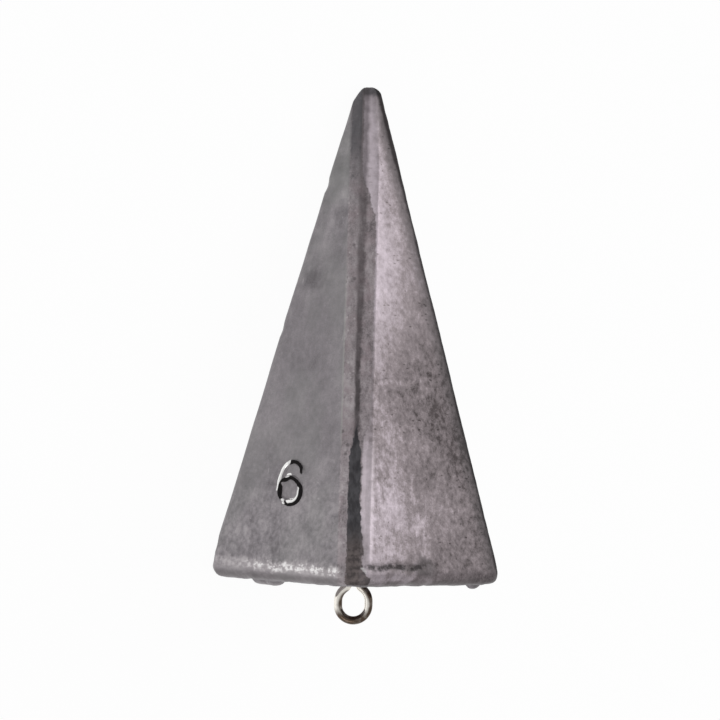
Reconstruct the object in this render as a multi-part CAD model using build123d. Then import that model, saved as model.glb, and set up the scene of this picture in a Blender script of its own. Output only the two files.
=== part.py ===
from build123d import *
from math import atan2, cos, degrees, radians, sin, sqrt, tan
import os

# Pyramid fishing sinker: a four-sided lead casting poured around a bent wire eye.
# Both pieces are drawn upright, with the base on z = 0 and the tip up the z axis.
# At the end they are laid together on one sloping face, the way the sinker rests on a table.
# All lengths are in millimetres and all angles in degrees.

# Lead body
BODY_HEIGHT = 60.0  # base face to the top of the tip
BASE_SIDE = 26.6  # across the flats where the sides would meet the base
TIP_SIDE = 2.5  # across the flats at the tip
BASE_RIDGE_RADIUS = 2.5  # rounding of the ridges at the base
TIP_RIDGE_RADIUS = 1.15  # and at the tip
BASE_BAND_WIDTH = 3.3  # narrow flat along the two ridges out of the parting plane, at the base
SHOULDER_BAND_WIDTH = 3.0  # at the shoulder, where it starts to narrow quickly
TIP_BAND_WIDTH = 1.0  # and at the tip
SHOULDER_DROP = 10.0  # top of the tip down to the shoulder
BASE_EDGE_RADIUS = 1.6  # rounding between the base and the sides
CORNER_SHARE = 0.97  # the base's rounding may use up this much of the ridge rounding it runs round
DOME_SHARE = 0.55  # size of the ball that rounds off the tip, over the tip's side

# Wire eye: a loop, a neck, two legs side by side and two flared ends that hold in the lead
WIRE_DIAMETER = 1.0
LOOP_RADIUS = 1.83  # to the middle of the wire, like every bend below
LOOP_STRAIGHT = 0.5  # short straight sides that make the loop taller than it is wide
EYE_REACH = 5.3  # base to the far outside of the loop
LEG_GAP = 0.25  # clear space between the two legs
NECK_RADIUS = 0.9
LEG_DEPTH = 9.0  # base to the end of the straight legs
FLARE_RADIUS = 1.6
FLARE_ANGLE = 40.0
FLARE_LENGTH = 3.5  # straight end past the flare's bend

# Raised numeral on the face that looks along -y
NUMERAL_UP_FACE = 12.0  # base to the middle of the numeral, measured up the slope
NUMERAL_STROKE = 0.62
NUMERAL_RELIEF = 0.3
NUMERAL_ROOT = 0.3  # how far the strokes run into the lead
BOWL_HALF_WIDTH = 1.95  # to the middle of the stroke, like the sizes below
BOWL_HALF_HEIGHT = 1.55
BOWL_DROP = 0.9  # middle of the numeral down to the middle of the bowl
CROWN_RISE = 2.5  # middle of the numeral up to the crown of the stem
CROWN_SHIFT = 0.4  # the crown stands this far right of the bowl's middle
STEM_LEAN = 6.0  # outward lean of the stem where it leaves the bowl
HOOK_REACH = 1.6  # crown to the end of the hook, sideways
HOOK_DROP = 1.2  # and downwards

# Drips of lead on the base: a long one beside the numeral's face and a round one beside the next
DRIP_RADIUS = 1.3  # of the bar or ball that the drip is a low cap of
DRIP_HEIGHT = 0.55
DRIP_CLEARANCE = 0.05  # between a drip and the rounded edge of the base
LONG_DRIP_LENGTH = 2.6  # between the middles of its round ends
LONG_DRIP_ALONG = -0.15  # middle of the drip, as a share of the base side
ROUND_DRIP_ALONG = 0.37

# Sizes that follow from the ones above
FACE_SLOPE = degrees(atan2((BASE_SIDE - TIP_SIDE) / 2, BODY_HEIGHT))  # lean of a side from the axis
WIRE_RADIUS = WIRE_DIAMETER / 2
LEG_OFFSET = (WIRE_DIAMETER + LEG_GAP) / 2
TIP_RIDGE = min(TIP_RIDGE_RADIUS, 0.46 * TIP_SIDE)
TIP_BAND = min(TIP_BAND_WIDTH, 0.4 * TIP_SIDE)
SHOULDER_SHARE = SHOULDER_DROP / BODY_HEIGHT  # how far the shoulder is from the tip's outline to the base's
SHOULDER_SIDE = TIP_SIDE + (BASE_SIDE - TIP_SIDE) * SHOULDER_SHARE
SHOULDER_RIDGE = TIP_RIDGE + (BASE_RIDGE_RADIUS - TIP_RIDGE) * SHOULDER_SHARE
TIP_DOME_RADIUS = DOME_SHARE * TIP_SIDE / (1 - sqrt(2) * tan(radians(FACE_SLOPE)))
BASE_EDGE_SPREAD = tan(radians(90 + FACE_SLOPE) / 2)  # width of the base's rounding over its radius
BASE_EDGE = min(BASE_EDGE_RADIUS, CORNER_SHARE * BASE_RIDGE_RADIUS / BASE_EDGE_SPREAD)

# The eye is bent in the plane through two opposite ridges, where the two mould halves meet.
PARTING_PLANE = Plane(origin=(0, 0, 0), x_dir=(1, 1, 0), z_dir=(1, -1, 0))


def outline(side, ridge_radius, band_width, height):
    """A square with two opposite corners rounded and the other two cut flat, as a ring of edges."""
    half = side / 2
    cut = band_width / sqrt(2)
    bend = ridge_radius * tan(radians(45) / 2)  # straight length that a 45 degree bend takes up
    slant = bend / sqrt(2)
    round_start = half - ridge_radius
    band_start = half - cut - bend
    half_ring = [
        Line((-round_start, -half), (band_start, -half)),
        CenterArc((band_start, -round_start), ridge_radius, -90, 45),
        Line((half - cut + slant, slant - half), (half - slant, cut - half - slant)),
        CenterArc((round_start, -band_start), ridge_radius, -45, 45),
        Line((half, -band_start), (half, round_start)),
        CenterArc((round_start, round_start), ridge_radius, 0, 90),
    ]
    ring = half_ring + [edge.rotate(Axis.Z, 180) for edge in half_ring]
    return [Pos(0, 0, height) * edge for edge in ring]


def pyramid():
    """Flat sides, two round ridges and two flattened ones, drawn through three outlines."""
    base = outline(BASE_SIDE, BASE_RIDGE_RADIUS, BASE_BAND_WIDTH, 0)
    shoulder = outline(SHOULDER_SIDE, SHOULDER_RIDGE, SHOULDER_BAND_WIDTH, BODY_HEIGHT - SHOULDER_DROP)
    tip = outline(TIP_SIDE, TIP_RIDGE, TIP_BAND, BODY_HEIGHT)
    faces = [Face(Wire(base)), Face(Wire(tip))]
    for low, high in [*zip(base, shoulder), *zip(shoulder, tip)]:
        if low.geom_type == GeomType.LINE:
            faces.append(Face(Wire.make_polygon([low @ 0, low @ 1, high @ 1, high @ 0])))
        else:
            faces.append(Face.make_surface_from_curves(low, high))
    body = Solid(Shell(faces))
    body = fillet(body.faces().sort_by(Axis.Z)[0].edges(), BASE_EDGE)
    dome_middle = BODY_HEIGHT - TIP_DOME_RADIUS
    below_dome = Pos(0, 0, dome_middle / 2) * Cylinder(BASE_SIDE, dome_middle)
    return body & (below_dome + Pos(0, 0, dome_middle) * Sphere(TIP_DOME_RADIUS))


def numeral():
    """A plain six in flat strokes, standing on a side face with its roots inside the lead."""
    slope = radians(FACE_SLOPE)
    middle = (0, NUMERAL_UP_FACE * sin(slope) - BASE_SIDE / 2, NUMERAL_UP_FACE * cos(slope))
    face = Plane(origin=middle, x_dir=(1, 0, 0), z_dir=(0, -cos(slope), sin(slope)))
    half_stroke = NUMERAL_STROKE / 2
    bowl = Ellipse(BOWL_HALF_WIDTH + half_stroke, BOWL_HALF_HEIGHT + half_stroke)
    bowl -= Ellipse(BOWL_HALF_WIDTH - half_stroke, BOWL_HALF_HEIGHT - half_stroke)
    crown = (CROWN_SHIFT, CROWN_RISE)
    lean = (-sin(radians(STEM_LEAN)), cos(radians(STEM_LEAN)))
    stem = TangentArc((-BOWL_HALF_WIDTH, -BOWL_DROP), crown, tangent=lean)
    hook_end = (CROWN_SHIFT + HOOK_REACH, CROWN_RISE - HOOK_DROP)
    hook = TangentArc(crown, hook_end, tangent=stem % 1)
    strokes = Pos(0, -BOWL_DROP) * bowl + trace(stem + hook, NUMERAL_STROKE)
    return extrude(face.offset(-NUMERAL_ROOT) * strokes, NUMERAL_ROOT + NUMERAL_RELIEF)


def drips():
    """A bar with round ends and a ball, each sunk into the base until only a low cap shows."""
    sunk = DRIP_RADIUS - DRIP_HEIGHT
    cap_half_width = sqrt(DRIP_RADIUS**2 - sunk**2)
    beside_edge = BASE_SIDE / 2 - BASE_EDGE * BASE_EDGE_SPREAD - DRIP_CLEARANCE - cap_half_width
    bar = Rot(0, 90, 0) * Cylinder(DRIP_RADIUS, LONG_DRIP_LENGTH)
    for end in (-1, 1):
        bar += Pos(end * LONG_DRIP_LENGTH / 2, 0, 0) * Sphere(DRIP_RADIUS)
    long_drip = Pos(LONG_DRIP_ALONG * BASE_SIDE, -beside_edge, sunk) * bar
    round_drip = Pos(beside_edge, ROUND_DRIP_ALONG * BASE_SIDE, sunk) * Sphere(DRIP_RADIUS)
    return long_drip + round_drip


def eye_path():
    """Middle line of the wire, from one flared end round the loop to the other."""
    loop_low = WIRE_RADIUS + LOOP_RADIUS - EYE_REACH
    loop_high = loop_low + LOOP_STRAIGHT
    neck_x = LEG_OFFSET + NECK_RADIUS
    neck_rise = sqrt((LOOP_RADIUS + NECK_RADIUS) ** 2 - neck_x**2)
    neck_high = loop_high + neck_rise
    shoulder = degrees(atan2(neck_rise, neck_x))
    flare = CenterArc((LEG_OFFSET + FLARE_RADIUS, LEG_DEPTH), FLARE_RADIUS, 180, -FLARE_ANGLE)
    half = Curve() + [
        CenterArc((0, loop_low), LOOP_RADIUS, -90, 90),
        Line((LOOP_RADIUS, loop_low), (LOOP_RADIUS, loop_high)),
        CenterArc((0, loop_high), LOOP_RADIUS, 0, shoulder),
        CenterArc((neck_x, neck_high), NECK_RADIUS, 180 + shoulder, -shoulder),
        Line((LEG_OFFSET, neck_high), (LEG_OFFSET, LEG_DEPTH)),
        flare,
        PolarLine(flare @ 1, FLARE_LENGTH, 90 - FLARE_ANGLE),
    ]
    return PARTING_PLANE * (half + mirror(half, about=Plane.YZ)).wire()


def wire_eye():
    path = eye_path()
    section = Plane(origin=path @ 0, z_dir=path % 0) * Circle(WIRE_RADIUS)
    return sweep(section, path=path)


def lead_body(eye):
    """The whole casting: the lead fills the mould around the wire."""
    return pyramid() + numeral() + drips() - eye


def resting_place(pieces):
    """Turn the face along -x down onto z = 0, tip towards -x, the middle of the pieces at the origin."""
    lay = Rot(0, -(90 + FACE_SLOPE), 0)
    box = Compound([lay * piece for piece in pieces]).bounding_box()
    middle = box.center()
    return Pos(-middle.X, -middle.Y, -box.min.Z) * lay


os.makedirs("parts", exist_ok=True)
eye = wire_eye()
lead = lead_body(eye)
place = resting_place([lead, eye])
export_step(place * lead, "parts/lead_body.step")
export_step(place * eye, "parts/wire_eye.step")
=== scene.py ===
# %% [markdown]
# # A cast lead pyramid sinker
# The sinker is two pieces: a four-sided lead casting, and a bent wire eye that the lead was poured
# around. The imported CAD model is loaded first and gives the frame: metres, +Z up, the sinker lying
# on one of its sloping sides with its tip towards -X.

# %% Load the frame
from math import atan, cos, pi, radians, sin, sqrt, tan

import bmesh
import bpy
from mathutils import Matrix, Vector


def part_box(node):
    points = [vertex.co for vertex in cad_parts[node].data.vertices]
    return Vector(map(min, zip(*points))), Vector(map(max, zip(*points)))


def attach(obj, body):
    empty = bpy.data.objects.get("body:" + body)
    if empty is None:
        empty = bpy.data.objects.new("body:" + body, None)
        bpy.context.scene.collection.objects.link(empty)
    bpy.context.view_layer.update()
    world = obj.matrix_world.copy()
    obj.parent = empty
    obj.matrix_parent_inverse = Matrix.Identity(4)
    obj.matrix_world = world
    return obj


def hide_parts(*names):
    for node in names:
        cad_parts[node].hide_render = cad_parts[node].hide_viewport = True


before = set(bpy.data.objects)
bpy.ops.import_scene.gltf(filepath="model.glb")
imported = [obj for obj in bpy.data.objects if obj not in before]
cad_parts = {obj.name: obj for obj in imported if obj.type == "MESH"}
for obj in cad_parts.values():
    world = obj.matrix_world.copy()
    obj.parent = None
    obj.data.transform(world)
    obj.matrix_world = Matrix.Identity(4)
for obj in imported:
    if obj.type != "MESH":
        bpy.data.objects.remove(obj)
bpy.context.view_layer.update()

MM = 0.001
print("nodes:", sorted(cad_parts))

# %% [markdown]
# ## Upright first, then laid down
# A pyramid is easiest to shape standing on its base with its tip up the z axis, so the casting is
# modelled upright at the origin. One matrix then lays it on its side: it turns the piece about Y
# until the side that faces -x is flat on the floor, and slides it until its tip meets the CAD tip.
# The camera and the finishes use the same matrix, so all of them can be thought of upright.

# %% Sizes of the casting and the matrix that lays it down
BODY_HEIGHT = 60.0 * MM
BASE_SIDE = 26.6 * MM
TIP_SIDE = 2.5 * MM
TIP_BALL = 1.92 * MM  # radius of the rounded tip

slope = atan((BASE_SIDE - TIP_SIDE) / 2 / BODY_HEIGHT)
tip_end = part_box("lead_body")[0].x
lay_x = tip_end + TIP_BALL + (BODY_HEIGHT - TIP_BALL) * cos(slope)
lay_z = BASE_SIDE / 2 * cos(slope)
lay_angle = -(pi / 2 + slope)
lay = Matrix.Translation((lay_x, 0, lay_z)) @ Matrix.Rotation(lay_angle, 4, "Y")
print("upright origin lands on", [round(c / MM, 3) for c in lay.translation], "mm")

# %% [markdown]
# ## The camera
# The picture looks straight at one ridge of the pyramid from about thirty centimetres, with the tip
# at the top. In the upright frame that is a view along a diagonal of the base, from a little below
# the level of the base, rolled by less than two degrees. The long lens keeps the sides straight.

# %% Camera
VIEW_TURN = radians(-45)
VIEW_LIFT = radians(-2.282)
VIEW_ROLL = radians(1.692)
VIEW_DISTANCE = 300 * MM
LENS = 124.06
AIM_HEIGHT = 27 * MM  # the middle of the picture, up the axis from the base
AIM_LEFT = 0.064 * MM
AIM_DOWN = 0.403 * MM

towards = Vector((cos(VIEW_TURN) * cos(VIEW_LIFT), sin(VIEW_TURN) * cos(VIEW_LIFT), sin(VIEW_LIFT)))
level = Vector((-sin(VIEW_TURN), cos(VIEW_TURN), 0))
rise = towards.cross(level)
view_right = level * cos(VIEW_ROLL) + rise * sin(VIEW_ROLL)
view_up = rise * cos(VIEW_ROLL) - level * sin(VIEW_ROLL)
target = Vector((0, 0, AIM_HEIGHT)) - view_right * AIM_LEFT - view_up * AIM_DOWN

bpy.ops.object.select_all(action="DESELECT")
bpy.ops.object.camera_add()
camera = bpy.context.object
axes = Matrix((view_right, view_up, towards)).transposed().to_4x4()
camera.matrix_world = lay @ Matrix.Translation(target + towards * VIEW_DISTANCE) @ axes
camera.data.lens = LENS
camera.data.sensor_fit = "HORIZONTAL"
camera.data.clip_start = 0.01
bpy.context.scene.camera = camera
print("camera stands at", [round(c, 3) for c in camera.matrix_world.translation])

# %% [markdown]
# ## Selecting by place
# By hand, one clicks on the points, edges or faces that the next operator acts on. A script selects
# them by a test of their place instead. The rest is deselected first, because an operator acts on
# all that is selected.

# %% Select by place


def select_where(piece, kind, test):
    """In edit mode, select the vertices, edges or faces that pass a test of their place."""
    bpy.ops.mesh.select_mode(type=kind)
    bpy.ops.mesh.select_all(action="DESELECT")
    mesh = bmesh.from_edit_mesh(piece.data)
    parts = {"VERT": mesh.verts, "EDGE": mesh.edges, "FACE": mesh.faces}[kind]
    chosen = [part for part in parts if test(part)]
    for part in chosen:
        part.select_set(True)
    mesh.select_flush_mode()
    bmesh.update_edit_mesh(piece.data)
    return len(chosen)


print("selection helper ready")

# %% [markdown]
# ## Four outlines
# The casting is a square at the base and a much smaller square at the tip. Two opposite ridges lie
# in the plane where the halves of the mould met, and they are round. The other two are flattened to
# a narrow band of nearly constant width, so one more outline stands below the tip, where the band
# still has its width. A fourth stands just above the base. The band's edges are crisp from there up,
# but softer at both ends, because rounding an end would fold a crisp edge over itself.
# Each outline starts as a plane: bevelling its corner points rounds two of them and cuts the other
# two, and a second bevel softens the ends of the cut. The straight runs are divided, because the
# relief later needs points to move.

# %% Outlines from the base to the tip
SIDE_CUTS = 47
BAND_CUTS = 23
BASE_RIDGE_RADIUS = 2.5 * MM  # of the two round ridges
TIP_RIDGE_RADIUS = 1.15 * MM
ABOVE_BASE = 3 * MM  # height above which the band has crisp edges
SHOULDER = 50 * MM  # height where the band starts to narrow towards the tip
TIP_TOP = BODY_HEIGHT - 0.3 * MM  # the tip is worn a little short


def between(start, end, height):
    """A size that changes evenly from the base to the tip."""
    return start + (end - start) * height / BODY_HEIGHT


def outline(height, band_width, band_edge):
    """A ring of edges: a square with two round corners and two corners cut to a band."""
    side = between(BASE_SIDE, TIP_SIDE, height)
    round_radius = between(BASE_RIDGE_RADIUS, TIP_RIDGE_RADIUS, height)
    tiny = side * 1e-4
    bpy.ops.object.select_all(action="DESELECT")
    bpy.ops.mesh.primitive_plane_add(size=side, location=(0, 0, height))
    ring = bpy.context.object
    bpy.ops.object.mode_set(mode="EDIT")
    select_where(ring, "VERT", lambda v: v.co.x * v.co.y > 0)
    bpy.ops.mesh.bevel(offset=round_radius, segments=10, affect="VERTICES")
    select_where(ring, "VERT", lambda v: v.co.x * v.co.y < 0 and abs(v.co.x + v.co.y) < tiny)
    bpy.ops.mesh.bevel(offset=band_width / sqrt(2), segments=1, affect="VERTICES")
    bpy.ops.mesh.bevel(offset=band_edge * tan(radians(22.5)), segments=4, affect="VERTICES")
    bpy.ops.mesh.select_all(action="SELECT")
    bpy.ops.mesh.delete(type="ONLY_FACE")
    select_where(ring, "EDGE", lambda e: min(abs(c) for c in (e.verts[0].co - e.verts[1].co).xy) < tiny)
    bpy.ops.mesh.subdivide(number_cuts=SIDE_CUTS)
    select_where(ring, "EDGE", lambda e: abs(sum(v.co.x + v.co.y for v in e.verts)) < tiny)
    bpy.ops.mesh.subdivide(number_cuts=BAND_CUTS)
    bpy.ops.object.mode_set(mode="OBJECT")
    return ring


rings = [
    outline(0, 3.3 * MM, 2.2 * MM),
    outline(ABOVE_BASE, 3.3 * MM, 0.5 * MM),
    outline(SHOULDER, 3.0 * MM, 0.4 * MM),
    outline(TIP_TOP, 1.3 * MM, 1.0 * MM),
]
print("points in each outline:", [len(ring.data.vertices) for ring in rings])

# %% [markdown]
# ## Sides
# The four rings become one object, and bridging each to the next fills the sides between them. All
# rings have the same number of points, so the rows of faces run straight from the base to the tip.

# %% Bridge the outlines
TINY = 1e-6

bpy.ops.object.select_all(action="DESELECT")
for ring in rings:
    ring.select_set(True)
bpy.context.view_layer.objects.active = rings[0]
bpy.ops.object.join()
casting = bpy.context.object
casting.name = casting.data.name = "lead_casting"
bpy.ops.object.mode_set(mode="EDIT")
for low, high in ((0, ABOVE_BASE), (ABOVE_BASE, SHOULDER), (SHOULDER, TIP_TOP)):
    select_where(casting, "EDGE", lambda e: all(low - TINY < v.co.z < high + TINY for v in e.verts)
                 and abs(e.verts[0].co.z - e.verts[1].co.z) < TINY)
    bpy.ops.mesh.bridge_edge_loops()
print("bridged", len(rings), "outlines")

# %% [markdown]
# ## Rounded base and tip
# The ends are filled with one face each, and bevelling the edge around each end rounds the base and
# the tip as the mould did. A Bevel modifier could do it too, but it has one width, and the two ends
# need different ones.

# %% Fill and round the ends
BASE_ROUNDING = 1.6 * MM * tan((pi / 2 + slope) / 2)  # width of a 1.6 mm rounding on each face
TIP_ROUNDING = 0.85 * MM


def level_with(height):
    """A test for edges that lie flat at one height."""
    return lambda e: all(abs(v.co.z - height) < TINY for v in e.verts)


for height, rounding in ((0, BASE_ROUNDING), (TIP_TOP, TIP_ROUNDING)):
    select_where(casting, "EDGE", level_with(height))
    bpy.ops.mesh.edge_face_add()
    bpy.ops.mesh.select_all(action="SELECT")
    bpy.ops.mesh.normals_make_consistent(inside=False)
    select_where(casting, "EDGE", level_with(height))
    bpy.ops.mesh.bevel(offset=rounding, segments=10, affect="EDGES")
    print("rounded the end at", round(height / MM, 2), "mm over", round(rounding / MM, 2), "mm")

# %% [markdown]
# ## Rows of points
# Only now are the long edges divided: a bevel next to many short rows would run into them. The tip
# is poked to a fan of triangles. The base is larger, so it is inset to rings that shrink towards its
# middle, and no face is long enough to show. Last, the sign of the volume tells whether the faces
# point outwards.

# %% Divide the sides and close the ends
ROWS = ((30, 60, 150), (7, 11, 28), (0.7, 2, 3))  # edges by the least and most they rise, in mm, and cuts
BASE_RINGS = 20


def rising(short, long):
    """A test for edges by how far they rise, in millimetres."""
    return lambda e: short < abs(e.verts[0].co.z - e.verts[1].co.z) / MM < long


for short, long, cuts in ROWS:
    select_where(casting, "EDGE", rising(short, long))
    bpy.ops.mesh.subdivide(number_cuts=cuts)
select_where(casting, "FACE", lambda f: len(f.verts) > 8 and f.calc_center_median().z > TIP_TOP / 2)
bpy.ops.mesh.poke()
select_where(casting, "FACE", lambda f: len(f.verts) > 8)
for left in range(BASE_RINGS, 1, -1):
    share = (left - 1) / left
    bpy.ops.mesh.inset(thickness=0)
    bpy.ops.transform.resize(value=(share, share, 1), center_override=(0, 0, 0))
bpy.ops.mesh.poke()
bpy.ops.mesh.select_all(action="SELECT")
if bmesh.from_edit_mesh(casting.data).calc_volume(signed=True) < 0:
    bpy.ops.mesh.flip_normals()
bpy.ops.object.mode_set(mode="OBJECT")
bpy.ops.object.shade_smooth()
print("casting:", len(casting.data.vertices), "vertices,", len(casting.data.polygons), "faces")

# %% [markdown]
# ## Finer mesh where the relief is small
# The numeral's strokes are only 0.6 mm wide, and the drips on the base 2 mm. Their neighbourhoods
# are selected by place and divided again, and the rest of the casting stays as it is.

# %% Refine the numeral's patch and the drips' patches
NUMERAL_UP_FACE = 12 * MM
LONG_DRIP = [(-5.3, -10.2), (-4.4, -10.4), (-3.5, -10.1), (-2.7, -10.4)]
ROUND_DRIP = [(10.4, 9.7), (10.45, 9.9)]
face_up = Vector((0, sin(slope), cos(slope)))
face_out = Vector((0, -cos(slope), sin(slope)))
numeral_middle = Vector((0, -BASE_SIDE / 2, 0)) + face_up * NUMERAL_UP_FACE


def in_numeral_patch(place):
    """Whether a place lies on the numeral's face, within a rectangle round the numeral."""
    away = place - numeral_middle
    right, up, out = away.x, away.dot(face_up), away.dot(face_out)
    return abs(right) < 2.9 * MM and abs(up) < 3.3 * MM and abs(out) < 0.2 * MM


def in_drip_patch(place):
    """Whether a place lies on the base, close to a drip."""
    reach = min((place.xy - Vector(spot) * MM).length for spot in LONG_DRIP + ROUND_DRIP)
    return place.z < 0.1 * MM and reach < 2.2 * MM


bpy.ops.object.mode_set(mode="EDIT")
for in_patch, cuts in ((in_numeral_patch, 5), (in_drip_patch, 2)):
    found = select_where(casting, "FACE", lambda f: in_patch(f.calc_center_median()))
    bpy.ops.mesh.subdivide(number_cuts=cuts)
    print("refined", found, "faces")
bpy.ops.object.mode_set(mode="OBJECT")

# %% [markdown]
# ## Relief along drawn lines
# The numeral, the drips, the seam down the front ridge and the folds in the lead all follow a line.
# So each line is drawn first, as a curve on the surface, and made a mesh of edges. A curve through
# a few points is smooth and easy to correct.

# %% Lines on the surface


def guide(points, closed=False):
    """A smooth line through points given in millimetres, as a mesh of edges."""
    bpy.ops.object.select_all(action="DESELECT")
    bpy.ops.curve.primitive_bezier_curve_add()
    line = bpy.context.object
    line.data.dimensions = "3D"
    spline = line.data.splines[0]
    spline.bezier_points.add(len(points) - 2)
    spline.use_cyclic_u = closed
    for knot, place in zip(spline.bezier_points, points):
        knot.co = Vector(place) * MM
        knot.handle_left_type = knot.handle_right_type = "AUTO"
    line.location = (0, 0, 0)
    bpy.ops.object.convert(target="MESH")
    return bpy.context.object


def join_guides(guides):
    """Several lines as one mesh, which is then the only thing selected."""
    bpy.ops.object.select_all(action="DESELECT")
    for line in guides:
        line.select_set(True)
    bpy.context.view_layer.objects.active = guides[0]
    bpy.ops.object.join()
    return bpy.context.object


print("line helpers ready")

# %% [markdown]
# ## Weights and moves
# Sculpting needs a hand and a window, so modifiers do it here. Vertex Weight Proximity gives every
# near point of the casting a weight, one on the line and zero at the edge of the stroke, and
# Displace moves the points along their normals by that weight. Both are applied. The weight is kept
# as an attribute, so that the finish can follow the relief.

# %% Weights and moves


def make_active(piece):
    """Select one piece alone, so that operators act on nothing else."""
    bpy.ops.object.select_all(action="DESELECT")
    piece.select_set(True)
    bpy.context.view_layer.objects.active = piece


def weigh(name, line, reach, falloff, chosen=None):
    """Weights that fall from one on the line to zero at the reach, kept as an attribute."""
    make_active(casting)
    group = name + "_reach"
    chosen = chosen or range(len(casting.data.vertices))
    casting.vertex_groups.new(name=group).add(chosen, 1, "REPLACE")
    bpy.ops.object.modifier_add(type="VERTEX_WEIGHT_PROXIMITY")
    nearness = casting.modifiers[-1]
    nearness.vertex_group = group
    nearness.target = line
    nearness.proximity_mode = "GEOMETRY"
    nearness.proximity_geometry = {"EDGE"}
    nearness.min_dist = reach
    nearness.max_dist = 0
    nearness.falloff_type = falloff
    bpy.ops.object.modifier_apply(modifier=nearness.name)
    weights = [0.0] * len(casting.data.vertices)
    index = casting.vertex_groups[group].index
    for vertex in casting.data.vertices:
        for member in vertex.groups:
            if member.group == index:
                weights[vertex.index] = member.weight
    casting.data.attributes.new(name, "FLOAT", "POINT").data.foreach_set("value", weights)
    bpy.data.objects.remove(line)
    return group


def displace(height, group="", texture=None, middle=0):
    """Move points along their normals, everywhere or by a group's weights."""
    make_active(casting)
    bpy.ops.object.modifier_add(type="DISPLACE")
    push = casting.modifiers[-1]
    push.direction = "NORMAL"
    push.strength = height
    push.mid_level = middle
    push.vertex_group = group
    if texture:
        push.texture = texture
        push.texture_coords = "LOCAL"
    bpy.ops.object.modifier_apply(modifier=push.name)


def vertices_where(test):
    """The numbers of the casting's points whose place passes a test."""
    return [v.index for v in casting.data.vertices if test(v.co)]


print("relief helpers ready")

# %% [markdown]
# ## The numeral
# A raised 6 stands on the side that faces -y. Its bowl and its stem are two lines on the sloping
# face, and a round falloff turns them into a bead 0.6 mm wide. Some edges of the strokes are painted
# black, as painted shade, and others bright, as painted highlights. These don't follow the strokes
# exactly, so two more sets of weights, along lines of their own, are kept for the finish.

# %% Raise the numeral
BOWL = [(-1.76, -1.1), (-1.56, -0.3), (-1.0, 0.2), (-0.1, 0.45), (0.95, 0.15), (1.72, -0.7),
        (1.8, -1.5), (1.45, -2.15), (0.5, -2.45), (-0.55, -2.25), (-1.4, -1.75)]
STEM = [(-1.78, -0.95), (-1.88, 0), (-1.68, 0.9), (-1.35, 1.65), (-0.8, 2.18), (0, 2.37), (0.88, 2.12),
        (1.48, 1.65), (1.64, 1.2)]
STROKE = 0.62 * MM
LIT_WIDTH = 0.36 * MM
NUMERAL_HEIGHT = 0.34 * MM
SHADED = [  # where painted shade lies beside the strokes
    [(-0.6, 2.22), (0.25, 2.33), (0.98, 2.1), (1.53, 1.65), (1.62, 1.15)],
    [(-1.55, -0.05), (-0.83, 0.18), (-0.03, 0.42), (0.78, 0.2), (1.5, -0.25), (1.92, -0.75),
     (2.08, -1.3), (1.9, -2.05), (1.1, -2.62), (-0.09, -2.66), (-0.85, -2.2), (-1.35, -1.65),
     (-1.5, -0.9), (-1.6, -0.25)],
]
LIT = [  # where painted highlights lie on the strokes
    [(-0.6, 2.36), (-1.22, 1.9), (-1.64, 1.2), (-1.86, 0.34), (-1.98, -0.42), (-2.02, -1.0)],
    [(1.6, -0.95), (1.56, -1.7), (1.27, -2.12), (0.36, -2.36)],
    [(-0.68, -2.42), (-0.6, -2.42)],
    [(-0.64, 0.68), (-0.4, 0.72)],
]


def on_numeral_face(points):
    """Points right of and above the numeral's middle, in millimetres, put on the sloping face."""
    return [numeral_middle / MM + Vector((right, 0, 0)) + face_up * up for right, up in points]


patch = vertices_where(in_numeral_patch)
strokes = join_guides([guide(on_numeral_face(BOWL), closed=True), guide(on_numeral_face(STEM))])
bead = weigh("numeral", strokes, STROKE / 2, "ICON_SPHERECURVE", patch)
# painted shade beside the strokes and painted highlights on them get weights of their own
shaded = join_guides([guide(on_numeral_face(line)) for line in SHADED])
weigh("numeral_shade", shaded, STROKE / 2, "LINEAR", patch)
lit = join_guides([guide(on_numeral_face(line)) for line in LIT])
weigh("numeral_light", lit, LIT_WIDTH, "LINEAR", patch)
displace(NUMERAL_HEIGHT, bead)
print("numeral raised on", len(patch), "points")

# %% [markdown]
# ## Seam, trough and folds
# The front band has a thin seam down its middle. Near the base it opens to a dark, shallow trough
# with uneven borders, and a small lip curls round its lower end. On the right-hand side a fold
# crosses the face where the pour paused, and a crease runs above the rounded base.

# %% Press the seam, trough and folds into the lead
BAND_INSET = 1.55 * MM  # from the edge where two sides would meet, in to the flat of the band


def on_band(*points):
    """A line on the front band, by how far right of the ridge and how high its points lie, in mm."""
    places = []
    for across, height in points:
        out = (between(BASE_SIDE, TIP_SIDE, height * MM) / sqrt(2) - BAND_INSET) / MM
        places.append(((across + out) / sqrt(2), (across - out) / sqrt(2), height))
    return guide(places)


def on_right(*points):
    """A line on the right-hand side, by its points' y and height in mm."""
    return guide([(between(BASE_SIDE, TIP_SIDE, z * MM) / 2 / MM, y, z) for y, z in points])


near_band = vertices_where(lambda p: p.x > 0 > p.y and abs(p.x + p.y) < 6 * MM)
right_side = vertices_where(lambda p: p.x > abs(p.y))
seam_line = on_band((-0.25, 55.5), (-0.1, 45), (-0.28, 33), (-0.2, 22), (-0.1, 12))
displace(-0.16 * MM, weigh("seam", seam_line, 0.42 * MM, "SMOOTH", near_band))
trough_line = on_band((0.15, 17.4), (-0.1, 15), (-0.05, 12), (-0.08, 9), (0.1, 6), (0.15, 3))
displace(-0.22 * MM, weigh("trough", trough_line, 1.05 * MM, "ICON_SPHERECURVE", near_band))
fold_line = on_right((-5.4, 23.6), (-3, 23.8), (-1, 23.7), (1.6, 24.2), (5, 24.4))
displace(-0.09 * MM, weigh("fold", fold_line, 0.55 * MM, "SMOOTH", right_side))
crease_line = on_right((-11, 2.5), (-8.6, 2.2), (-6.5, 2.45), (-4, 2.15), (-1, 2.35))
displace(-0.1 * MM, weigh("crease", crease_line, 0.7 * MM, "SMOOTH", right_side))
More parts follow.
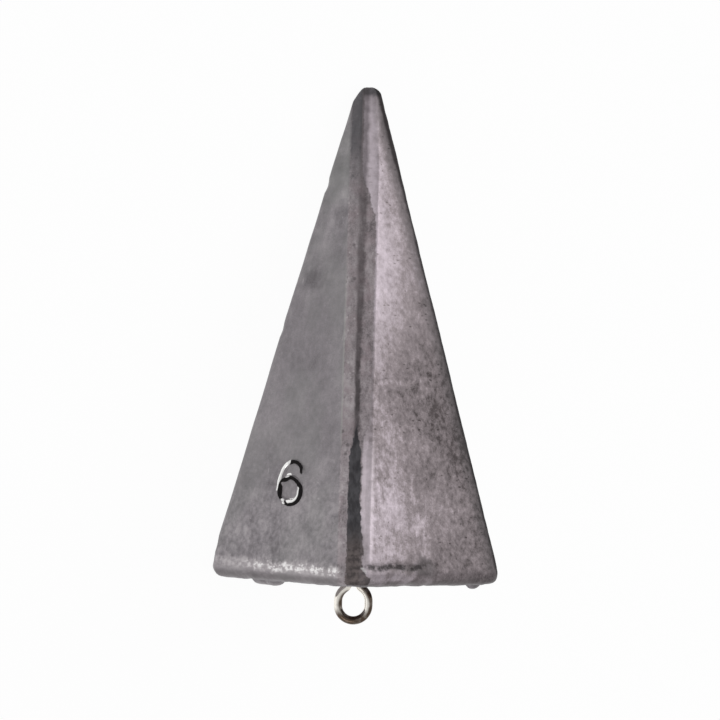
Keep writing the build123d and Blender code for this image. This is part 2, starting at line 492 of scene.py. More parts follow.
lip_line = on_band((0.2, 3.0), (0.6, 2.45), (1.2, 1.95), (1.75, 1.2))
displace(0.16 * MM, weigh("lip", lip_line, 0.5 * MM, "SMOOTH", near_band))
print("pressed the seam, trough, fold and crease, and raised the lip")

# %% [markdown]
# ## Drips and an uneven surface
# Two drips of lead hang from the base: a long one beside the numeral's side and a round one beside
# the next. The mould left broad waves on every side, a rougher skin on the right-hand sides
# and lumps along the rounded edge of the base. Cloud textures drive these moves.

# %% Add the drips and the waves
FLAT_BASE = 11.35  # half the width of the base's flat part, in millimetres
DRIP_HEIGHT = 0.6 * MM


def clouds(name, size, depth=2):
    """A cloudy texture, grey on the whole, with lumps of about the given size."""
    texture = bpy.data.textures.new(name, "CLOUDS")
    texture.noise_scale = size
    texture.noise_depth = depth
    return texture


base_points = vertices_where(lambda p: p.z < 0.3 * MM)
for name, line, width in (("long_drip", LONG_DRIP, 1.1 * MM), ("round_drip", ROUND_DRIP, 0.75 * MM)):
    drip = guide([(x, y, 0) for x, y in line])
    displace(DRIP_HEIGHT, weigh(name, drip, width, "ICON_SPHERECURVE", base_points))

rough_sides = casting.vertex_groups.new(name="rough_sides")
rough_sides.add(vertices_where(lambda p: p.x + p.y > 1.5 * MM), 1, "REPLACE")
base_edge = casting.vertex_groups.new(name="base_edge")
for vertex in casting.data.vertices:
    x, y, z = vertex.co / MM
    inset = FLAT_BASE - max(abs(x), abs(y))
    share = min((2.6 - z) / 1.2, 1 - inset / 1.5, 1)
    base_edge.add([vertex.index], max(share, 0), "REPLACE")
displace(0.18 * MM, texture=clouds("broad_waves", 9 * MM), middle=0.5)
displace(0.05 * MM, texture=clouds("small_waves", 2.4 * MM), middle=0.5)
displace(0.07 * MM, "rough_sides", clouds("rough_skin", 1.1 * MM, 1), 0.5)
displace(0.3 * MM, "base_edge", clouds("edge_lumps", 1.7 * MM, 1), 0.5)
print("drips, waves and lumps added")

# %% [markdown]
# ## Nicks
# A soft lead casting is nicked by whatever it is carried with. Each nick is made one by one: the
# nearest point is picked and moved inwards with proportional editing, which draws its neighbours along.

# %% Nick the casting
NICKS = [  # place on the casting, how deep and how wide, in millimetres
    ((-3.1, -3.6, 47.9), 0.3, 1.0),
    ((-6.6, -7.1, 30.0), 0.18, 0.9),
    ((-11.9, -12.2, 3.9), 0.2, 0.9),
    ((-12.2, -12.2, 1.2), 0.3, 3.2),
    ((-1.0, -1.0, 59.3), 0.35, 1.5),
]


def nick(place, depth, width):
    """Push the nearest point inwards, and its neighbours less and less with distance."""
    nearest = min(casting.data.vertices, key=lambda v: (v.co - place).length_squared)
    inwards = -nearest.normal * depth
    bpy.ops.object.mode_set(mode="EDIT")
    select_where(casting, "VERT", lambda v: v.index == nearest.index)
    bpy.ops.transform.translate(value=inwards, use_proportional_edit=True, proportional_size=width,
                                proportional_edit_falloff="SMOOTH")
    bpy.ops.object.mode_set(mode="OBJECT")


make_active(casting)
for place, depth, width in NICKS:
    nick(Vector(place) * MM, depth * MM, width * MM)
print("nicks:", len(NICKS))

# %% [markdown]
# ## Lay the casting down
# The finished shape takes the laying matrix, and applying the transform puts its place into the mesh.

# %% Lay the casting down
casting.matrix_world = lay
make_active(casting)
bpy.ops.object.transform_apply(location=True, rotation=True, scale=True)
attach(casting, "root")
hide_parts("lead_body")
casting.data.calc_loop_triangles()
print("lead casting:", len(casting.data.loop_triangles), "triangles")

# %% [markdown]
# ## Node helpers
# The finishes are node trees. These few helpers add one node each and link it, so that a finish can
# be read from top to bottom as a recipe.

# %% Node helpers


def new_finish(name):
    """A new material and its node tree."""
    finish = bpy.data.materials.new(name)
    finish.use_nodes = True
    return finish, finish.node_tree


def feed(tree, socket, value):
    """Link another node's output to a socket, or set the socket to a number."""
    if isinstance(value, bpy.types.NodeSocket):
        tree.links.new(value, socket)
    else:
        socket.default_value = value


def sum_up(tree, operation, first, second=0.0, clamp=False):
    """One Math node."""
    node = tree.nodes.new("ShaderNodeMath")
    node.operation = operation
    node.use_clamp = clamp
    feed(tree, node.inputs[0], first)
    feed(tree, node.inputs[1], second)
    return node.outputs[0]


def fade(tree, value, start, end, low=0.0, high=1.0):
    """Goes smoothly from low at start to high at end."""
    node = tree.nodes.new("ShaderNodeMapRange")
    node.interpolation_type = "SMOOTHSTEP"
    if start > end:
        start, end, low, high = end, start, high, low
    for socket, number in zip(("From Min", "From Max", "To Min", "To Max"), (start, end, low, high)):
        node.inputs[socket].default_value = number
    feed(tree, node.inputs["Value"], value)
    return node.outputs[0]


print("node helpers ready")

# %% [markdown]
# ## Noise, colour and place
# Four more helpers: noise for stains and grain, a mix that lays one colour over another, a weight
# that the relief left, and the place of a point. A Mapping node turns the object coordinates back to
# the upright casting, because heights and sides are simplest there.

# %% Noise, colour and place helpers


def noise(tree, place, scale, detail=3.0, roughness=0.55):
    """Noise between zero and one, about one half on the whole, with scale lumps to a millimetre."""
    node = tree.nodes.new("ShaderNodeTexNoise")
    feed(tree, node.inputs["Vector"], place)
    node.inputs["Scale"].default_value = scale
    node.inputs["Detail"].default_value = detail
    node.inputs["Roughness"].default_value = roughness
    return node.outputs[0]


def paint(tree, share, under, over):
    """Lays one colour over another where the share is high."""
    node = tree.nodes.new("ShaderNodeMix")
    node.data_type = "RGBA"
    feed(tree, node.inputs[0], share)
    for socket, colour in ((node.inputs[6], under), (node.inputs[7], over)):
        feed(tree, socket, (*colour, 1) if isinstance(colour, tuple) else colour)
    return node.outputs[2]


def weight_of(tree, name):
    """A weight that the relief left on the casting's points."""
    node = tree.nodes.new("ShaderNodeAttribute")
    node.attribute_name = name
    return node.outputs["Fac"]


def upright_place(tree):
    """Object coordinates turned back to the upright casting, in millimetres."""
    coordinates = tree.nodes.new("ShaderNodeTexCoord")
    mapping = tree.nodes.new("ShaderNodeMapping")
    mapping.vector_type = "TEXTURE"
    mapping.inputs["Location"].default_value = lay.translation
    mapping.inputs["Rotation"].default_value = (0, lay_angle, 0)
    mapping.inputs["Scale"].default_value = (MM, MM, MM)
    tree.links.new(coordinates.outputs["Object"], mapping.inputs["Vector"])
    return mapping.outputs[0]


print("noise, colour and place helpers ready")

# %% [markdown]
# ## The colours of old lead
# Lead is dull: a skin of oxide makes it an even grey where it is left alone, and paler and mottled
# where it rubs. Some of the named colours paint light and shade instead: painted highlights, a
# painted sheen, and nearly black painted shade. A picture laid on the piece would give this from one
# side only, so the finish mixes a few named colours by noise. The numbers are shares of the light
# that is sent back, red, green and blue.

# %% Colours of the lead
CALM_DARK, CALM, CALM_LIGHT = (0.09, 0.082, 0.087), (0.26, 0.239, 0.253), (0.46, 0.425, 0.44)
GREENISH = (0.235, 0.236, 0.23)
# the light end of the right-hand sides also serves the painted sheen beside the ridge
RUBBED_DARK, RUBBED, RUBBED_LIGHT_AND_SHEEN = (0.045, 0.035, 0.036), (0.24, 0.205, 0.215), (0.56, 0.49, 0.54)
BAND_DARK, BAND, BAND_LIGHT = (0.085, 0.072, 0.077), (0.305, 0.266, 0.28), (0.52, 0.47, 0.49)
OXIDE = (0.050, 0.043, 0.044)
BLUE_OXIDE = (0.074, 0.075, 0.082)
BROWN_DARK, BROWN = (0.065, 0.056, 0.055), (0.15, 0.125, 0.12)
# painted shade in the trough
TROUGH_SHADE, TROUGH_SHADE_LIGHT = (0.046, 0.045, 0.049), (0.092, 0.09, 0.097)
# near black, for painted shade and for the crease
NEAR_BLACK = (0.012, 0.011, 0.011)
# bright, for painted highlights
BRIGHT = (0.92, 0.91, 0.90)
# pale pink paints a sheen on the band; reddish is a tint of the lead
PALE_PINK, REDDISH = (0.82, 0.73, 0.79), (0.33, 0.26, 0.28)
EDGE_LINE = (0.44, 0.45, 0.42)
# worn lead with a painted highlight along the base's left-hand edge, and painted shade under it
WORN_EDGE_AND_HIGHLIGHT, UNDER_EDGE_SHADE = (0.53, 0.485, 0.5), (0.13, 0.115, 0.118)

lead, tree = new_finish("cast_lead_finish")
shader = tree.nodes["Principled BSDF"]
print("the lead's plain grey:", CALM, "and rubbed:", RUBBED)

# %% [markdown]
# ## Sums in a recipe
# A mask or a tone is a sum of many Math nodes. With a short word for each kind of node, a line of
# the recipe reads like the sum itself. All of them add to the tree that is being built.

# %% Words for the recipe


def add(first, second):
    return sum_up(tree, "ADD", first, second)


def less(first, second):
    return sum_up(tree, "SUBTRACT", first, second)


def times(first, second, *others):
    product = sum_up(tree, "MULTIPLY", first, second)
    for other in others:
        product = sum_up(tree, "MULTIPLY", product, other)
    return product


def most(first, second):
    return sum_up(tree, "MAXIMUM", first, second)


def ramp(value, start, end, low=0.0, high=1.0):
    """The fade of the node helpers, in the tree that is being built."""
    return fade(tree, value, start, end, low, high)


def centred(value, strength):
    """Noise moved to run from minus the strength to plus the strength."""
    return times(less(value, 0.5), 2 * strength)


print("words for the recipe ready")

# %% [markdown]
# ## Patterns
# Streaks are noise in a space that is stretched one way. Pits and scratches are the middles of some
# cells of a Voronoi pattern. And a tone, which is any sum of such patterns, becomes a colour by
# mixing a dark, a middle and a light one.

# %% Patterns


def stretched(scale):
    """The place, scaled along x, y and z; a share below one draws a pattern out that way."""
    node = tree.nodes.new("ShaderNodeVectorMath")
    node.operation = "MULTIPLY"
    tree.links.new(place, node.inputs[0])
    node.inputs[1].default_value = scale
    return node.outputs[0]


def specks(where, scale, radius, share):
    """Small round spots: the middles of some cells of a cell pattern."""
    node = tree.nodes.new("ShaderNodeTexVoronoi")
    tree.links.new(where, node.inputs["Vector"])
    node.inputs["Scale"].default_value = scale
    chance = tree.nodes.new("ShaderNodeSeparateColor")
    tree.links.new(node.outputs["Color"], chance.inputs[0])
    spot = ramp(node.outputs["Distance"], radius, radius * 0.4)
    return times(spot, sum_up(tree, "LESS_THAN", chance.outputs[0], share))


def tint(tone, dark, middle, light):
    """Dark at a tone of -0.4, middle at 0.5 and light at 1.4."""
    to_middle = sum_up(tree, "DIVIDE", add(tone, 0.4), 0.9, clamp=True)
    to_light = sum_up(tree, "DIVIDE", less(tone, 0.5), 0.9, clamp=True)
    return paint(tree, to_light, paint(tree, to_middle, dark, middle), light)


print("patterns ready")

# %% [markdown]
# ## Where a point lies
# The finish is measured on the upright casting, in millimetres: the height above the base, how far
# across to the right of the front ridge a point lies, and how far outward towards the front. A few
# noises from broad to fine are shared by all that follows, so that stains and borders agree.

# %% Measures and noises
RIDGE_AT_BASE = 17.77  # from the axis out to a round ridge
RIDGE_NARROWING = 0.2747  # how much less that is for each millimetre up

place = upright_place(tree)
split = tree.nodes.new("ShaderNodeSeparateXYZ")
tree.links.new(place, split.inputs[0])
x, y, height = split.outputs
across = times(add(x, y), 1 / sqrt(2))
outward = times(less(x, y), 1 / sqrt(2))
large = noise(tree, place, 0.1, 2)
medium = noise(tree, place, 0.42, 4)
fine = noise(tree, place, 1.7, 4, 0.6)
grain = noise(tree, place, 6.5, 2)
streaks = noise(tree, stretched((1.0, 1.0, 0.12)), 0.9, 4, 0.6)
along = noise(tree, stretched((0.02, 0.02, 1.0)), 0.34, 2)
ragged = centred(fine, 0.14)
# Across, where the rubbed side starts: near the band's right edge, and further left at both ends
border = ramp(add(height, centred(medium, 3)), 42, 50, 1.38, -0.45)
border = less(border, ramp(add(height, centred(fine, 6)), 20, 15.5, 0, 0.85))
front = ramp(outward, -0.3, 0.3)  # one on the two sides seen from the front
reach = less(RIDGE_AT_BASE, times(height, RIDGE_NARROWING))  # across, at the right-hand ridge
print("measures and noises:", len(tree.nodes), "nodes")

# %% [markdown]
# ## The calm sides
# The sides left of the front ridge kept the even skin that the mould gave them. Broad, middling and
# fine noise add up to a tone, and the tone picks a colour between a dark and a light grey. A darker
# patch and a paler one are put where the real side has them, and a few pale specks and fine upright
# scratches are scattered over it.

# %% Calm left-hand sides


def patch_at(middle_across, middle_height, radius):
    """A soft ragged patch on the front, one in its middle and zero outside its radius."""
    from_across = less(across, middle_across)
    from_height = less(height, middle_height)
    square = add(times(from_across, from_across), times(from_height, from_height))
    away = add(sum_up(tree, "SQRT", square), centred(medium, 1.6))
    return times(ramp(away, radius, radius * 0.2), front)


calm_tone = add(0.52, centred(large, 0.5))
calm_tone = add(calm_tone, times(centred(medium, 0.5), ramp(height, 34, 46, 0.9, 2.9)))
calm_tone = less(calm_tone, ramp(height, 40, 50, 0, 0.06))
calm_tone = add(calm_tone, add(centred(fine, 0.36), centred(grain, 0.3)))
# painted light: the calm sides are painted a little lighter towards the base
calm_tone = add(calm_tone, ramp(height, 30, 2, -0.02, 0.09))
low_mottle = add(centred(medium, 0.5), centred(fine, 0.5))
calm_tone = add(calm_tone, times(low_mottle, ramp(height, 18, 5, 0, 0.9)))
calm_tone = less(calm_tone, times(patch_at(-5.5, 36.6, 2.6), 0.5))
calm_tone = add(calm_tone, times(patch_at(-5.0, 39.8, 1.6), 0.25))
calm_tone = add(calm_tone, times(specks(place, 0.45, 0.08, 0.4), 0.75))
calm_tone = add(calm_tone, times(specks(stretched((1, 1, 0.14)), 0.7, 0.1, 0.2), 0.4))
calm_tone = less(calm_tone, times(specks(stretched((0.9, 0.9, 0.2)), 0.6, 0.09, 0.15), 0.4))
calm = tint(calm_tone, CALM_DARK, CALM, CALM_LIGHT)
green = ramp(noise(tree, stretched((1, 1, 0.6)), 0.16, 3), 0.42, 0.62)
calm = paint(tree, times(green, ramp(height, 34, 46, 0.3, 0.55)), calm, GREENISH)
print("calm sides:", len(tree.nodes), "nodes so far")

# %% [markdown]
# ## The rubbed sides
# The sides right of the ridge are paler beside it, partly rubbed and partly a painted sheen, and
# browner further out and below the fold. The tone is built as before. Its noise is stronger below the
# fold, where the skin is coarser, and dark pits are scattered over it.

# %% Rubbed right-hand sides
share_out = sum_up(tree, "DIVIDE", across, reach)
share_out = add(share_out, add(centred(medium, 0.5), centred(large, 0.5)))
# partly wear and partly a painted sheen: the right-hand sides are paler beside the ridge
sheen_beside_ridge = ramp(share_out, 0.8, 0.1)
upper = ramp(add(height, centred(medium, 8)), 25, 38)
below_fold = times(ramp(height, 9, 17), ramp(add(height, centred(medium, 6)), 25.5, 22.5))
rubbed_tone = add(0.06, times(upper, ramp(height, 47, 53, 0.34, 0.22)))
rubbed_tone = less(rubbed_tone, times(below_fold, 0.21))
rubbed_tone = add(rubbed_tone, times(sheen_beside_ridge, ramp(height, 12, 6, 0.78, 1.04)))
rubbed_tone = add(rubbed_tone, times(centred(streaks, 0.8), ramp(height, 20, 8), sheen_beside_ridge))
mottle = add(centred(medium, 0.6), centred(fine, 0.6))
mottle = add(mottle, centred(noise(tree, place, 0.95, 4, 0.65), 0.6))
mottle = add(mottle, centred(grain, 0.28))
rubbed_tone = add(rubbed_tone, times(mottle, ramp(height, 21, 30, 1.15, 0.8)))
rubbed_tone = less(rubbed_tone, times(specks(place, 0.95, 0.16, 0.3), 0.35))
rubbed_tone = less(rubbed_tone, times(specks(stretched((1, 1, 2.4)), 0.75, 0.24, 0.3), 0.5))
rubbed_tone = add(rubbed_tone, times(ramp(add(weight_of(tree, "fold"), ragged), 0.25, 0.8), 0.2))
rubbed_tone = add(rubbed_tone, ramp(height, 3, 1.2, 0, 0.12))
rubbed_tone = add(rubbed_tone, times(most(patch_at(4.8, 1.2, 1.0), patch_at(6.4, 1.1, 1.0)), 0.5))
rubbed = tint(rubbed_tone, RUBBED_DARK, RUBBED, RUBBED_LIGHT_AND_SHEEN)
right_of_border = ramp(add(less(across, border), times(ragged, 2)), -0.12, 0.12)
colour = paint(tree, right_of_border, calm, rubbed)
print("rubbed sides:", len(tree.nodes), "nodes so far")

# %% [markdown]
# ## The base
# The two patterns would meet in a line across the base, which no one sees on a real sinker. So the
# base has a plain grey of its own, and a mask by height says where the sides end.

# %% Underside
base_tone = add(0.42, add(centred(medium, 0.6), add(centred(fine, 0.5), centred(grain, 0.3))))
base_tone = less(base_tone, times(specks(place, 0.8, 0.2, 0.3), 0.3))
base_tone = add(base_tone, times(weight_of(tree, "long_drip"), 0.4))
base_colour = tint(base_tone, CALM_DARK, CALM, CALM_LIGHT)
on_side = ramp(height, 0.05, 0.35)
print("base:", len(tree.nodes), "nodes so far")

# %% [markdown]
# ## The front band
# The flattened ridge is pinkish and speckled, greyer in its left half, with a thin pale line along
# its left edge. Near the tip and beside the trough it is painted pale, as a painted sheen. Each of
# these is painted over the sides with a mask, in the order in which they lie on the metal.

# %% Front band
# painted sheen: the band is painted pale near the tip and beside the trough
near_tip = times(right_of_border, ramp(across, 1.9, 0.6))
colour = paint(tree, times(near_tip, 0.32), colour, PALE_PINK)
beside_trough = times(right_of_border, ramp(across, 2.2, 1.7), ramp(height, 18, 13))
colour = paint(tree, times(beside_trough, 0.4), colour, PALE_PINK)
band_share = times(front, ramp(add(across, ragged), -2.1, -1.85), less(1, right_of_border))
band_tone = add(0.62, add(centred(medium, 0.7), centred(fine, 0.9)))
band_tone = add(band_tone, add(centred(grain, 0.6), centred(streaks, 1.0)))
band_tone = less(band_tone, ramp(across, -0.2, 0.2, 0, 0.18))
band = tint(band_tone, BAND_DARK, BAND, BAND_LIGHT)
reddish = ramp(noise(tree, place, 0.6, 3), 0.45, 0.65)
band = paint(tree, times(reddish, 0.4), band, REDDISH)
left_half = ramp(add(across, ragged), -0.4, -0.9)
band = paint(tree, times(left_half, ramp(height, 14, 20, 0, 0.1)), band, GREENISH)
band = paint(tree, times(specks(place, 1.0, 0.3, 0.45), left_half, 0.6), band, BAND_DARK)
band = paint(tree, times(specks(place, 1.4, 0.26, 0.45), left_half, 0.75), band, BAND_LIGHT)
colour = paint(tree, band_share, colour, band)
from_edge = sum_up(tree, "ABSOLUTE", add(add(across, 1.98), centred(along, 0.1)))
edge_line = ramp(from_edge, 0.16, 0.05)
edge_line = times(edge_line, front, ramp(height, 44, 28), ramp(height, 14, 19))
colour = paint(tree, times(edge_line, 0.3), colour, EDGE_LINE)
print("front band:", len(tree.nodes), "nodes so far")

# %% [markdown]
# ## Dark seam and tip
# Oxide stayed in the seam down the middle of the band, and a bluish shade lies left of it near the
# tip and over the tip itself. The seam's relief has a weight that could be the mask, but the stain
# wanders off the groove, so both masks are drawn by place. Noise moves their borders, because an
# even border looks printed.

# %% Masks of the seam and the tip
seam_shift = add(centred(along, 0.3), centred(fine, 0.2))
seam_place = sum_up(tree, "ABSOLUTE", add(add(across, 0.25), seam_shift))
seam_width = ramp(height, 28, 36, 0.5, 0.75)
seam = times(ramp(sum_up(tree, "DIVIDE", seam_place, seam_width), 1.0, 0.25), front)
seam = times(seam, ramp(height, 27, 33, 0.95, 0.75), ramp(height, 14, 18))
seam = times(seam, ramp(medium, 0.35, 0.6, 0.75, 1))
tip_shade = times(ramp(across, -2.2, -1.75), ramp(across, -0.45, -0.75), front)
tip_shade = times(tip_shade, ramp(add(height, centred(medium, 5)), 43, 54.5))
cap_shade = ramp(add(height, centred(fine, 0.6)), 58.2, 58.9)
print("seam and tip:", len(tree.nodes), "nodes so far")

# %% [markdown]
# ## The shaded trough
# Painted shade fills the trough. Its mask is a strip with a left and a right border, which
# noise moves, and it widens towards the base. A wider mask gives its lower end a brown halo.

# %% Masks of the trough
wobble = times(centred(fine, 1), ramp(height, 6, 2, 0.28, 0.6))
strip_left = add(add(across, ramp(height, 14.5, 19, 0.98, 0.25)), add(centred(along, 0.2), wobble))
strip_reach = add(ramp(height, 19, 14, -0.1, 0.5), ramp(height, 10, 5, 0, 0.4))
strip_reach = add(strip_reach, ramp(height, 2.2, 0.9, 0, 0.8))
strip_right = less(strip_reach, add(across, add(centred(along, 0.5), wobble)))
strip = times(ramp(strip_left, -0.06, 0.1), ramp(strip_right, -0.06, 0.12), front)
strip_ends = times(ramp(height, 19.2, 18.2), ramp(height, 0, 0.3))
strip = times(strip, strip_ends)
strip_halo = times(ramp(strip_left, -0.1, 0.1), ramp(strip_right, -0.75, 0.1), front)
strip_halo = times(strip_halo, ramp(height, 9, 5), strip_ends)
print("trough:", len(tree.nodes), "nodes so far")

# %% [markdown]
# ## The crease and the shade along the ridge
# The crease above the base takes its mask from the relief's weight, so that the near-black paint lies
# in the groove, and noise breaks it up. A brown halo lies round it. The right-hand ridge has painted
# shade where its round edge turns away from the light, softer towards the face, measured from the ridge.

# %% Masks of the crease and the right-hand ridge
crease_weight = weight_of(tree, "crease")
crease = ramp(add(crease_weight, centred(fine, 0.45)), 0.2, 0.85)
crease = times(crease, ramp(crease_weight, 0, 0.1))
crease = times(crease, ramp(noise(tree, place, 0.9, 4, 0.65), 0.34, 0.56))
crease = most(times(crease, 0.8), times(patch_at(8.3, 2.1, 1.3), 0.45))
from_crease = sum_up(tree, "ABSOLUTE", add(less(height, 1.85), centred(medium, 0.7)))
crease_halo = times(ramp(across, 0.8, 1.8), ramp(across, 10.5, 7.5), front)
crease_halo = times(crease_halo, ramp(from_crease, 1.0, 0.2), ramp(fine, 0.3, 0.6, 0.35, 1))
# painted shade along the right-hand ridge, where its round edge turns away from the light
from_ridge = add(less(across, reach), centred(medium, 0.3))
from_ridge = add(from_ridge, ramp(height, 38, 58, 0, 0.25))
ridge_shade = add(ramp(from_ridge, -1.9, -0.25, 0, 0.5), ramp(from_ridge, -0.5, -0.1, 0, 0.42))
ridge_shade = times(ridge_shade, ramp(outward, -2.4, 0.2))
print("crease and ridge line:", len(tree.nodes), "nodes so far")

# %% [markdown]
# ## Painting the dark places
# The masks are painted in turn: the tip's shade, the seam, the brown halos, near black in the crease
# and as painted shade along the ridge, and last the painted shade in the trough, bluish black above and
# brown below. All of them together make one more mask, because what is dark here is also dull, and the
# gloss needs that later.

# %% Paint the dark places
at_tip = most(tip_shade, cap_shade)
colour = paint(tree, times(at_tip, 0.8), colour, BLUE_OXIDE)
colour = paint(tree, times(seam, 0.9), colour, OXIDE)
colour = paint(tree, times(most(strip_halo, crease_halo), 0.42), colour, BROWN_DARK)
# near black over the crease, and as painted shade along the ridge
colour = paint(tree, times(most(ridge_shade, crease), 0.9), colour, NEAR_BLACK)
# painted shade in the trough, bluish black above and brown low down
low_strip = ramp(add(height, centred(fine, 2.5)), 7.5, 3.5)
strip_grain = noise(tree, stretched((1, 1, 0.4)), 1.5, 4, 0.62)
upper_strip = paint(tree, ramp(strip_grain, 0.34, 0.68), TROUGH_SHADE, TROUGH_SHADE_LIGHT)
lower_strip = paint(tree, ramp(fine, 0.36, 0.62), BROWN_DARK, BROWN)
strip_colour = paint(tree, low_strip, upper_strip, lower_strip)
colour = paint(tree, times(strip, ramp(height, 7, 3, 0.97, 0.85)), colour, strip_colour)
dark = most(times(seam, 0.9), most(ridge_shade, crease))
dark = most(dark, most(strip, times(at_tip, 0.6)))
print("dark places:", len(tree.nodes), "nodes so far")

# %% [markdown]
# ## Painted highlights and painted shade
# Painted highlights lie on edges of the numeral, as glints on lumps along the left-hand edge of the
# base, over the worn lead along that edge, and on the small lip in front. Painted shade lies beside
# the numeral's strokes and under the left-hand and right-hand edges of the base.

# %% Painted highlights and shade on the numeral and the base edge
# painted shade beside the numeral's strokes
stroke_shade = times(weight_of(tree, "numeral_shade"), add(noise(tree, place, 3.2, 2), 0.5))
stroke_shade = ramp(stroke_shade, 0.12, 0.36)
# painted highlights on the numeral's strokes
bead_highlight = ramp(times(weight_of(tree, "numeral_light"), add(fine, 0.5)), 0.08, 0.3)
# painted highlight on the raised lip
lip = ramp(add(weight_of(tree, "lip"), ragged), 0.45, 0.85)
lumps = noise(tree, stretched((0.8, 0.8, 1.2)), 1.8, 3)
glint_height = ramp(across, -16, -3, 1.9, 1.65)
glint_height = add(glint_height, add(centred(medium, 0.5), centred(fine, 0.5)))
from_glints = sum_up(tree, "ABSOLUTE", less(height, glint_height))
left_side = ramp(across, -1.0, -2.2)
# painted shade under the left-hand edge of the base
under_edge_shade = times(ramp(add(height, ragged), 1.3, 0.6), left_side)
# worn lead with a painted highlight along the left-hand edge of the base
edge = times(ramp(from_glints, 1.1, 0.1), left_side, ramp(across, -17, -11, 0.5, 1))
colour = paint(tree, times(edge, ramp(lumps, 0.35, 0.6, 0.4, 0.95)), colour, WORN_EDGE_AND_HIGHLIGHT)
colour = paint(tree, times(under_edge_shade, 0.55), colour, UNDER_EDGE_SHADE)
# painted glints on the lumps along that edge
glint = times(ramp(from_glints, 0.8, 0.1), left_side, ramp(across, -14.5, -10, 0.12, 1))
glint = times(glint, ramp(add(lumps, centred(fine, 0.3)), 0.44, 0.62))
colour = paint(tree, on_side, base_colour, colour)
# painted shade under the right-hand edge of the base
under_right_shade = times(ramp(x, 10.6, 11.6), ramp(add(height, ragged), 0.95, 0.3))
under_right_shade = times(under_right_shade, ramp(medium, 0.3, 0.55, 0.5, 1))
colour = paint(tree, times(under_right_shade, 0.6), colour, BROWN_DARK)
colour = paint(tree, times(stroke_shade, 0.97), colour, NEAR_BLACK)
# all painted highlights together
bright = most(bead_highlight, most(times(glint, 0.8), times(lip, 0.5)))
colour = paint(tree, bright, colour, BRIGHT)
tree.links.new(colour, shader.inputs["Base Color"])
print("bright metal and dirt:", len(tree.nodes), "nodes so far")

# %% [markdown]
# ## Gloss and pits
# Bare lead is a metal, but oxide is not, and painted shade has to stay dark, so the masks of the dark
# places and of the numeral's painted shade lower the metallic and the specular values there. A faint
# bump adds a grain that is too fine to be modelled.

# %% Gloss and small pits
roughness = add(0.42, add(times(medium, 0.14), times(band_share, 0.1)))
roughness = less(roughness, times(most(bright, times(edge, 0.5)), 0.27))
tree.links.new(roughness, shader.inputs["Roughness"])
# dark paint and painted shade are dull and not metallic
dark_and_shade = times(most(dark, stroke_shade), on_side)
tree.links.new(ramp(dark_and_shade, 0, 1, 0.5, 0), shader.inputs["Specular IOR Level"])
metal = times(less(1, dark_and_shade), less(0.7, times(band_share, 0.36)))
metal = sum_up(tree, "ADD", metal, times(bright, 0.3), clamp=True)
tree.links.new(metal, shader.inputs["Metallic"])
bump = tree.nodes.new("ShaderNodeBump")
bump.inputs["Strength"].default_value = 0.6
bump.inputs["Distance"].default_value = 0.06 * MM
tree.links.new(add(fine, times(grain, 0.4)), bump.inputs["Height"])
tree.links.new(bump.outputs[0], shader.inputs["Normal"])
casting.data.materials.append(lead)
print("lead finish:", len(tree.nodes), "nodes")

# %% [markdown]
# ## The wire eye
# The bent wire of the CAD model has its full shape already, so that node stays and only gets a
# material: pale drawn wire, painted brown at the bottom of the loop, inside its left limb and outside
# its right limb, partly tarnish and partly painted dark reflections.

# %% Wire finish
# pale clean wire, and brown for tarnish and painted dark reflections
WIRE_CLEAN, WIRE_TARNISH_AND_DARK_REFLECTION = (0.94, 0.90, 0.83), (0.10, 0.072, 0.054)
LOOP_MIDDLE = 2.85  # about how far below the base the loop's middle is, in millimetres

wire, tree = new_finish("eye_wire_finish")
shader = tree.nodes["Principled BSDF"]
place = upright_place(tree)
split = tree.nodes.new("ShaderNodeSeparateXYZ")
tree.links.new(place, split.inputs[0])
across = times(add(split.outputs[0], split.outputs[1]), 1 / sqrt(2))
height = split.outputs[2]
from_middle = add(height, LOOP_MIDDLE)
from_loop = sum_up(tree, "SQRT", add(times(across, across), times(from_middle, from_middle)))
# painted brown where the wire shows dark reflections: partly tarnish, partly painted dark reflection
inside_left = times(ramp(across, 0.4, -0.8), ramp(from_loop, 2.0, 1.6))
outside_right = times(ramp(across, 0.4, 1.2), ramp(from_loop, 1.7, 2.1))
tarnish_and_dark_reflection = most(ramp(height, -3.2, -4.4), most(inside_left, outside_right))
tarnish_and_dark_reflection = sum_up(tree, "ADD", tarnish_and_dark_reflection, centred(noise(tree, place, 1.2, 3), 0.5), clamp=True)
colour = paint(tree, tarnish_and_dark_reflection, WIRE_CLEAN, WIRE_TARNISH_AND_DARK_REFLECTION)
tree.links.new(colour, shader.inputs["Base Color"])
shader.inputs["Metallic"].default_value = 1
shader.inputs["Roughness"].default_value = 0.12
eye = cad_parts["wire_eye"]
eye.data.materials.clear()
eye.data.materials.append(wire)
print("wire finish:", len(tree.nodes), "nodes")

# %% [markdown]
# ## Floor
# The sinker lies on white paper. A camera ray or a reflected ray sees the paper glow at nearly one,
# which makes the background white without more light on the lead. The rest of it is matt, so it
# still takes the shadow.

# %% Floor
SEEN_GLOW = 0.96  # share of the glow in what a camera ray or a reflected ray sees

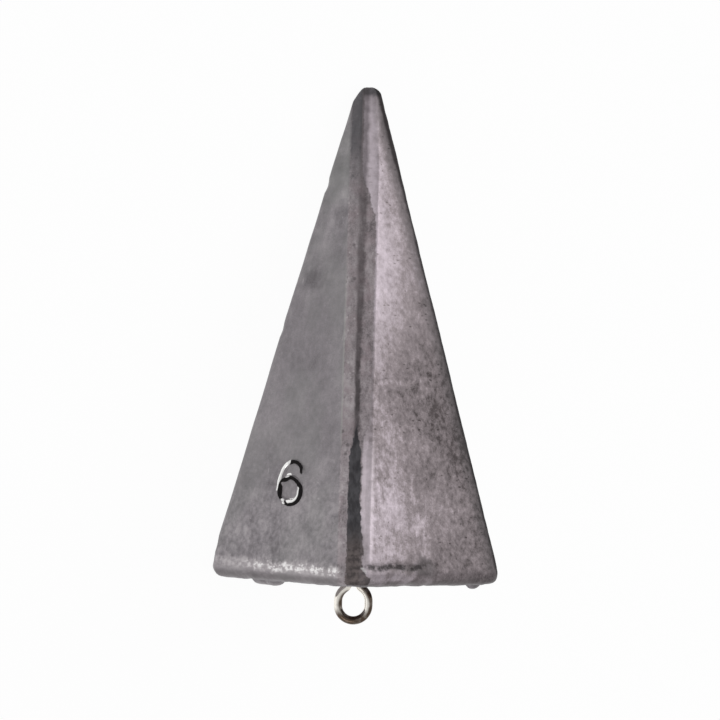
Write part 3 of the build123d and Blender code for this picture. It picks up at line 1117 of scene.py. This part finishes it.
bpy.ops.object.select_all(action="DESELECT")
bpy.ops.mesh.primitive_plane_add(size=6)
floor = bpy.context.object
floor.name = "floor"
paper, tree = new_finish("white_paper")
tree.nodes.clear()
out = tree.nodes.new("ShaderNodeOutputMaterial")
mix = tree.nodes.new("ShaderNodeMixShader")
matt = tree.nodes.new("ShaderNodeBsdfDiffuse")
matt.inputs["Color"].default_value = (0.85, 0.85, 0.85, 1)
glow = tree.nodes.new("ShaderNodeEmission")
path = tree.nodes.new("ShaderNodeLightPath")
seen = sum_up(tree, "MAXIMUM", path.outputs["Is Camera Ray"], path.outputs["Is Glossy Ray"])
seen = sum_up(tree, "MAXIMUM", seen, path.outputs["Is Transmission Ray"])
tree.links.new(sum_up(tree, "MULTIPLY", seen, SEEN_GLOW), mix.inputs[0])
tree.links.new(matt.outputs[0], mix.inputs[1])
tree.links.new(glow.outputs[0], mix.inputs[2])
tree.links.new(mix.outputs[0], out.inputs[0])
floor.data.materials.append(paper)
print("floor:", floor.name)

# %% [markdown]
# ## Light
# An even white sky fills the shadows, and two large round lamps, one behind and one in front, give
# the sides their soft difference. A lamp's power is worked out from its size, so that it can grow
# or shrink without getting brighter to look at.

# %% World and lamps
world = bpy.data.worlds.new("studio")
bpy.context.scene.world = world
world.use_nodes = True
sky = world.node_tree.nodes["Background"]
sky.inputs["Color"].default_value = (1, 1, 1, 1)
sky.inputs["Strength"].default_value = 0.65


def softbox(name, place, size, radiance):
    """A round lamp that is turned towards the sinker."""
    aim = Vector((0, 0, 0.01))
    bpy.ops.object.light_add(type="AREA", location=place)
    lamp = bpy.context.object
    lamp.name = name
    lamp.rotation_euler = (aim - Vector(place)).to_track_quat("-Z", "Y").to_euler()
    lamp.data.shape = "DISK"
    lamp.data.size = size
    lamp.data.energy = radiance * pi * pi * size * size / 4
    print(name, round(lamp.data.energy, 2), "W")


softbox("back_softbox", (-0.48, 0.69, 0.54), 0.6, 2.4)
softbox("front_softbox", (0.6, -0.7, 0.5), 0.6, 1.4)
bpy.context.scene.view_settings.view_transform = "Standard"
